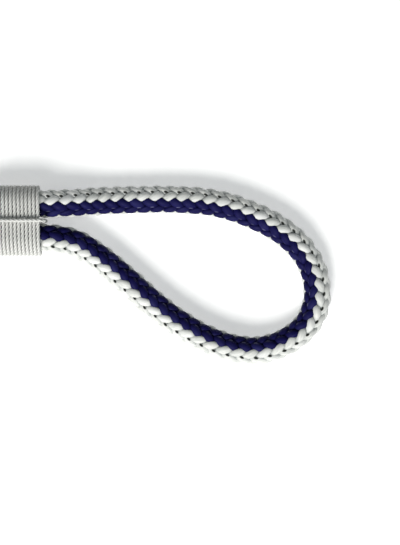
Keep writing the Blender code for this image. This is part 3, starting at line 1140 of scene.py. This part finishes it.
@dataclass
class WholeRope:
    """The one rope of the line, from the tail at the seizing, round the eye, to the end on the hank.

    In the hank the braid turns about the line by chance, by up to the drift, in degrees, either way.
    """

    shading: Shading
    hank: Hank
    eye_stitch: Stitch = Stitch()
    hank_stitch: Stitch = Stitch(rings=(-0.86, -0.36, 0.30, 0.86))
    steps: int = 4000
    drift: float = 8.0
    drift_step: float = 0.3
    drift_start: float = 0.2
    seed: int = 5
    cords: list[tuple[bpy.types.Object, float, list[list[float]]]] = field(default_factory=list)

    @staticmethod
    def eye_route() -> list[Vector]:
        """The route from the tail's end, through the seizing, round the eye and back, and on to the hank.

        Returns:
            The route's points.
        """
        tail = [Vector((x, TAIL_Y, SEIZED_Z)) for x in (TAIL_X, SEIZING_END_X, SEIZING_START_X)]
        standing = [Vector((x, SEIZED_Y, SEIZED_Z)) for x in (SEIZING_START_X, SEIZING_END_X)]
        entry = [
            Vector((FOLD_NEAR_X + ROPE_DIAMETER * 2, HANK_ENTRY_Y, ROPE_RADIUS)),
            Vector((FOLD_NEAR_X + GAP, HANK_ENTRY_Y, ROPE_RADIUS)),
        ]
        return tail + lifted(EYE_POINTS) + standing + lifted(STANDING_POINTS) + entry

    def _line(self) -> tuple[RopeLine, list[float]]:
        """The rope's middle from end to end, with the braid's turns about it.

        Returns:
            The line, and where along it one piece stops and the next starts.
        """
        eye = smooth_route(self.eye_route())
        quarters = np.linspace(0.0, self.hank.end(), self.steps)
        route = np.concatenate([eye, self.hank.line(quarters)])
        along = measured(route)
        line = RopeLine(route)
        entry = float(along[len(eye) - 1])
        marks = np.interp(self.hank.cuts(), quarters, along[len(eye):])
        passed = [int(np.linalg.norm(eye - np.array(p), axis=1).argmin()) for p in lifted(EYE_POINTS)]
        places = [float(along[passed[i]]) for i, _ in BRAID_TURNS]
        degrees = [turn for _, turn in BRAID_TURNS]
        later = np.arange(entry + self.drift_start, line.length, self.drift_step)
        drawn = np.random.default_rng(self.seed).random(len(later)) * 2 * self.drift - self.drift
        line.set_turns(places + later.tolist(), degrees + drawn.tolist())
        return line, [0.0, entry, *marks[1:-1].tolist(), line.length]

    def build(self) -> None:
        """Makes the rope's pieces."""
        line, cuts = self._line()
        braid = Braid(line, self.shading)
        for (name, node, stitch), start, stop in zip(
            (
                ("rope_eye", "eye_rope", self.eye_stitch),
                ("rope_hank_bottom_layer", "rope_hank", self.hank_stitch),
                ("rope_hank_second_layer", "rope_hank", self.hank_stitch),
                ("rope_hank_third_layer", "rope_hank", self.hank_stitch),
                ("rope_hank_top_inner_turn", "rope_hank", self.hank_stitch),
                ("rope_last_turn", "rope_end", self.hank_stitch),
            ),
            cuts,
            cuts[1:],
        ):
            piece, path = braid.build(name, start, stop, stitch)
            self.cords.append((settle(piece, node), stop - start, path))
            LOG.info("%s: %.3f m", name, stop - start)


@dataclass
class ThroatSeizing:
    """The twine that binds the tail to the standing part: round turns, and a frapping turn across them."""

    shading: Shading
    pitch: float = SEIZING_TWINE * 0.93
    middle: Point = ((SEIZING_START_X + SEIZING_END_X) / 2, (SEIZED_Y + TAIL_Y) / 2, SEIZED_Z)

    def build(self) -> list[bpy.types.Object]:
        """Winds the twine.

        Returns:
            The round turns and the frapping turn.
        """
        twine = Twine(SEIZING_TWINE)
        apart = (ROPE_DIAMETER + SEIZED_GAP) / 2
        ring = around([(-apart, 0.0), (apart, 0.0)], ROPE_RADIUS + GAP + SEIZING_TWINE / 2)
        turns = math.ceil((SEIZING_LENGTH - SEIZING_TWINE) / self.pitch)
        wound = np.tile(ring[:-1], (turns, 1))
        reach = (SEIZING_LENGTH - SEIZING_TWINE) / 2
        x = np.linspace(-reach, reach, len(wound))
        points = np.stack([x, wound[:, 0], wound[:, 1]], axis=1) + np.array(self.middle)
        round_turns = twine.wind("seizing_round_turns", points, self.shading)
        half_x = SEIZING_LENGTH / 2 + GAP
        half_z = ROPE_RADIUS + 2 * GAP + SEIZING_TWINE
        corner = SEIZING_TWINE / 2
        corners = [(a * (half_x - corner), b * (half_z - corner)) for a in (-1, 1) for b in (-1, 1)]
        loop = around(corners, corner + SEIZING_TWINE / 2 - GAP / 2)
        points = np.stack([loop[:, 0], np.zeros(len(loop)), loop[:, 1]], axis=1) + np.array(self.middle)
        frapping = twine.wind("seizing_frapping_turn", points, self.shading)
        return [
            settle(round_turns, "throat_seizing"),
            settle(frapping, "throat_frapping"),
        ]


@dataclass
class EndWhipping:
    """The twine wound round the rope near its end. Both its ends are drawn in under its turns."""

    shading: Shading
    pitch: float = WHIPPING_TWINE * 0.93
    tuck: float = 0.0009
    tuck_turns: float = 0.3
    steps: int = 90

    def build(self) -> bpy.types.Object:
        """Winds the twine.

        Returns:
            The whipping's turns.
        """
        turns = math.ceil((WHIPPING_LENGTH - WHIPPING_TWINE) / self.pitch)
        share = np.linspace(0.0, 1.0, turns * self.steps)
        angle = share * turns * 2 * math.pi
        radius = np.full(len(share), ROPE_RADIUS + GAP + WHIPPING_TWINE / 2)
        from_end = np.minimum(share, 1 - share) * turns
        radius -= self.tuck * (1 - smooth_step(from_end / self.tuck_turns))
        x = (share - 0.5) * (WHIPPING_LENGTH - WHIPPING_TWINE) + WHIPPING_X
        y = HANK_Y - TOP_OUTER_TURN + radius * np.cos(angle)
        z = TOP_Z + radius * np.sin(angle)
        piece = Twine(WHIPPING_TWINE).wind("end_whipping_turns", np.stack([x, y, z], axis=1), self.shading)
        return settle(piece, "end_whipping")


@dataclass
class HankTie:
    """A tie round one side of the hank: three wraps of twine and a reef knot on top.

    The side is 1 at +Y and -1 at -Y. The wraps lie closer by the gather, in widths of the twine, and are cut
    back by a few points at each end, where they pass into the knot.
    """

    shading: Shading
    name: str
    node: str
    side: int
    gather: float = 0.1
    knot_reach: float = 0.0060
    knot_rise: float = 0.0021
    knot_shift: float = 0.0006
    knot_steps: int = 8
    cut_back: int = 6

    # Half of the reef knot, from a tail's end round the bight: across the side, along it, and up
    BIGHT: ClassVar[list[Point]] = [
        (-0.0070, 0.0019, -0.0019),
        (-0.0046, 0.0011, -0.0014),
        (-0.0023, 0.0011, -0.0010),
        (0.0000, 0.0018, 0.0010),
        (0.0018, 0.0024, 0.0013),
        (0.0030, 0.0014, 0.0014),
        (0.0033, 0.0000, 0.0014),
        (0.0030, -0.0014, 0.0013),
        (0.0017, -0.0024, 0.0004),
        (0.0000, -0.0018, -0.0010),
        (-0.0023, -0.0011, -0.0011),
        (-0.0046, -0.0016, -0.0014),
    ]

    def _centres(self) -> list[tuple[float, float]]:
        """Where the tie bends round the rope.

        Returns:
            The middles of the turns at the bundle's corners, across the side and up.
        """
        low, high = HANK_FOLD_RADIUS + TIE_PINCH, OUTER_TURN - TIE_PINCH
        base_top = ROPE_RADIUS + (HANK_LAYERS - 1) * LAYER_PITCH
        return [
            (low, ROPE_RADIUS + TIE_PINCH), (high, ROPE_RADIUS + TIE_PINCH),
            (low, base_top), (high, base_top), (TOP_INNER_TURN, TOP_Z), (TOP_OUTER_TURN, TOP_Z),
        ]

    def build(self) -> bpy.types.Object:
        """Ties the twine.

        Returns:
            The tie, as one twine from tail to tail.
        """
        ring = around(self._centres(), ROPE_RADIUS + GAP + TIE_TWINE / 2)[:-1]
        top = (TOP_INNER_TURN + TOP_OUTER_TURN) / 2
        start = int(np.hypot(ring[:, 0] - top + self.knot_reach, ring[:, 1] - ring[:, 1].max()).argmin())
        ring = np.roll(ring, -start, axis=0)
        stop = int(np.hypot(ring[:, 0] - top - self.knot_reach, ring[:, 1] - ring[:, 1].max()).argmin())
        wraps = np.concatenate([np.tile(ring, (TIE_WRAPS - 1, 1)), ring[:stop]])
        width = (TIE_WRAPS - self.gather) * TIE_TWINE
        along = np.linspace(-width / 2, width / 2, len(wraps))
        wound = np.stack([wraps[:, 0], along, wraps[:, 1]], axis=1)[self.cut_back:-self.cut_back]
        knot_z = TOP_Z + ROPE_RADIUS + GAP + TIE_TWINE + self.knot_rise
        shift = self.knot_shift
        first = [Vector((top + a, b - shift, knot_z + c)) for a, b, c in self.BIGHT]
        second = [Vector((top - a, -b + shift, knot_z + c)) for a, b, c in reversed(self.BIGHT)]
        knot = [smooth_route(half, self.knot_steps) for half in (first, second)]
        tied = np.concatenate([knot[0], wound, knot[1]])
        x, y = TIE_X + self.side * tied[:, 1], HANK_Y + self.side * tied[:, 0]
        points = np.stack([x, y, tied[:, 2]], axis=1)
        return settle(Twine(TIE_TWINE).wind(self.name, points, self.shading), self.node)


@dataclass
class MeltedTip:
    """The end of the rope, melted into a round button. The direction is 1 towards +X and -1 towards -X.

    The dome is made by insets of its outer face, in shares of the rope's radius. After each, the inner face
    moves out by a share of the tip's length.
    """

    shading: Shading
    name: str
    node: str
    place: Point
    direction: int
    width: float = 0.93
    sides: int = 32
    dome: tuple[tuple[float, float], ...] = ((0.20, 0.22), (0.30, 0.06), (0.22, -0.10))
    rounding: float = 0.0004
    lumps: float = 0.0022
    uneven: float = 0.0007
    uneven_middle: float = 0.6

    def build(self) -> bpy.types.Object:
        """A disc with a domed, slightly uneven outer face.

        Returns:
            The melted tip.
        """
        x, y, z = self.place
        bpy.ops.object.select_all(action="DESELECT")
        bpy.ops.mesh.primitive_cylinder_add(
            vertices=self.sides,
            radius=ROPE_RADIUS * self.width,
            depth=TIP_LENGTH,
            location=(x + self.direction * (TIP_LENGTH / 2), y, z),
            rotation=(0, self.direction * math.pi / 2, 0),
        )
        tip = bpy.context.object
        tip.name = tip.data.name = self.name
        bpy.ops.object.transform_apply(location=True, rotation=True, scale=True)
        bpy.ops.object.mode_set(mode="EDIT")
        bpy.ops.mesh.select_all(action="DESELECT")
        bpy.ops.object.mode_set(mode="OBJECT")
        for face in tip.data.polygons:
            face.select = face.normal.x * self.direction > 0.9
        bpy.ops.object.mode_set(mode="EDIT")
        for inset, rise in self.dome:
            bpy.ops.mesh.inset(thickness=ROPE_RADIUS * inset)
            bpy.ops.transform.translate(value=(self.direction * TIP_LENGTH * rise, 0, 0))
        bpy.ops.object.mode_set(mode="OBJECT")
        rounding = tip.modifiers.new("rounding", "BEVEL")
        rounding.width = self.rounding
        rounding.segments = 2
        smooth = tip.modifiers.new("smooth", "SUBSURF")
        smooth.levels = smooth.render_levels = 2
        clouds = bpy.data.textures.new(self.name, "CLOUDS")
        clouds.noise_scale = self.lumps
        uneven = tip.modifiers.new("uneven", "DISPLACE")
        uneven.texture = clouds
        uneven.strength = self.uneven
        uneven.mid_level = self.uneven_middle
        for modifier in [m.name for m in tip.modifiers]:
            bpy.ops.object.modifier_apply(modifier=modifier)
        bpy.ops.object.shade_smooth()
        tip.data.materials.clear()
        tip.data.materials.append(self.shading.melted(MELTED))
        tip.select_set(False)
        return settle(tip, self.node)


# Studio


@dataclass
class Studio:
    """The floor, the lights and the camera, which looks straight down on the eye.

    The view height is the longer side of what the camera sees, at the rope's middle. The fill is the sky's
    strength at -Y and at +Y.
    """

    shading: Shading
    view_x: float = 0.1343
    view_y: float = 0.0165
    view_height: float = 0.2336
    camera_rise: float = 1.2
    sensor: float = 36.0
    floor_size: float = 8.0
    key_from: Point = (-0.30, -0.80, 0.86)
    key_power: float = 3.1
    key_spread: float = math.radians(30.0)
    key_colour: Colour = (1.0, 0.985, 0.96)
    fill: tuple[float, float] = (0.40, 0.12)
    fill_fade: tuple[float, float] = (-0.8, 0.8)
    fill_colour: Colour = (0.88, 0.97, 1.0)

    def build(self) -> None:
        """Sets up everything round the object."""
        self._floor()
        self._lights()
        self._camera()
        bpy.context.scene.view_settings.view_transform = "Standard"

    def _floor(self) -> None:
        """A wide pale floor under the line."""
        bpy.ops.object.select_all(action="DESELECT")
        bpy.ops.mesh.primitive_plane_add(size=self.floor_size, location=(0.0, 0.0, 0.0))
        floor = bpy.context.object
        floor.name = "floor"
        floor.data.materials.append(self.shading.floor(FLOOR))
        floor.select_set(False)

    def _lights(self) -> None:
        """A soft key light from the -Y side, and a sky that is brighter on that side."""
        data = bpy.data.lights.new("key", "SUN")
        data.angle = self.key_spread
        data.energy = self.key_power
        data.color = self.key_colour
        key = bpy.data.objects.new("key", data)
        target = Vector((self.view_x, self.view_y, 0.0))
        key.location = target + Vector(self.key_from)
        key.rotation_euler = (target - key.location).to_track_quat("-Z", "Y").to_euler()
        bpy.context.scene.collection.objects.link(key)
        world = bpy.data.worlds.new("sky")
        world.use_nodes = True
        tree = world.node_tree
        sky = tree.nodes["Background"]
        sky.inputs["Color"].default_value = (*self.fill_colour, 1.0)
        direction = tree.nodes.new("ShaderNodeTexCoord")
        split = tree.nodes.new("ShaderNodeSeparateXYZ")
        tree.links.new(direction.outputs["Generated"], split.inputs[0])
        tree.links.new(map_range(tree, split.outputs[1], self.fill_fade, self.fill), sky.inputs["Strength"])
        bpy.context.scene.world = world

    def _camera(self) -> None:
        """A long lens that looks straight down, with the eye in the middle of the view."""
        data = bpy.data.cameras.new("camera")
        data.sensor_width = self.sensor
        data.lens = self.sensor * self.camera_rise / self.view_height
        data.clip_start = 0.05
        camera = bpy.data.objects.new("camera", data)
        camera.location = (self.view_x, self.view_y, ROPE_RADIUS + self.camera_rise)
        bpy.context.scene.collection.objects.link(camera)
        bpy.context.scene.camera = camera


def main() -> None:
    """Builds the line in order and reports each piece."""
    logging.basicConfig(level=logging.INFO, format="%(message)s")
    shading = Shading()
    Studio(shading).build()
    rope = WholeRope(shading, Hank())
    rope.build()
    seizing = ThroatSeizing(shading).build()
    whipping = EndWhipping(shading).build()
    ties = [
        HankTie(shading, "tie_twine_left", "hank_tie_left", 1).build(),
        HankTie(shading, "tie_twine_right", "hank_tie_right", -1).build(),
    ]
    tail = MeltedTip(shading, "tail_melted", "tail_tip", (TAIL_X, TAIL_Y, SEIZED_Z), -1).build()
    end_place = (END_X, HANK_Y - TOP_OUTER_TURN, TOP_Z)
    end = MeltedTip(shading, "end_melted", "end_tip", end_place, 1).build()
    for piece in [*seizing, whipping, *ties, tail, end]:
        LOG.info("%s: %d faces", piece.name, len(piece.data.polygons))


if __name__ == "__main__":
    main()
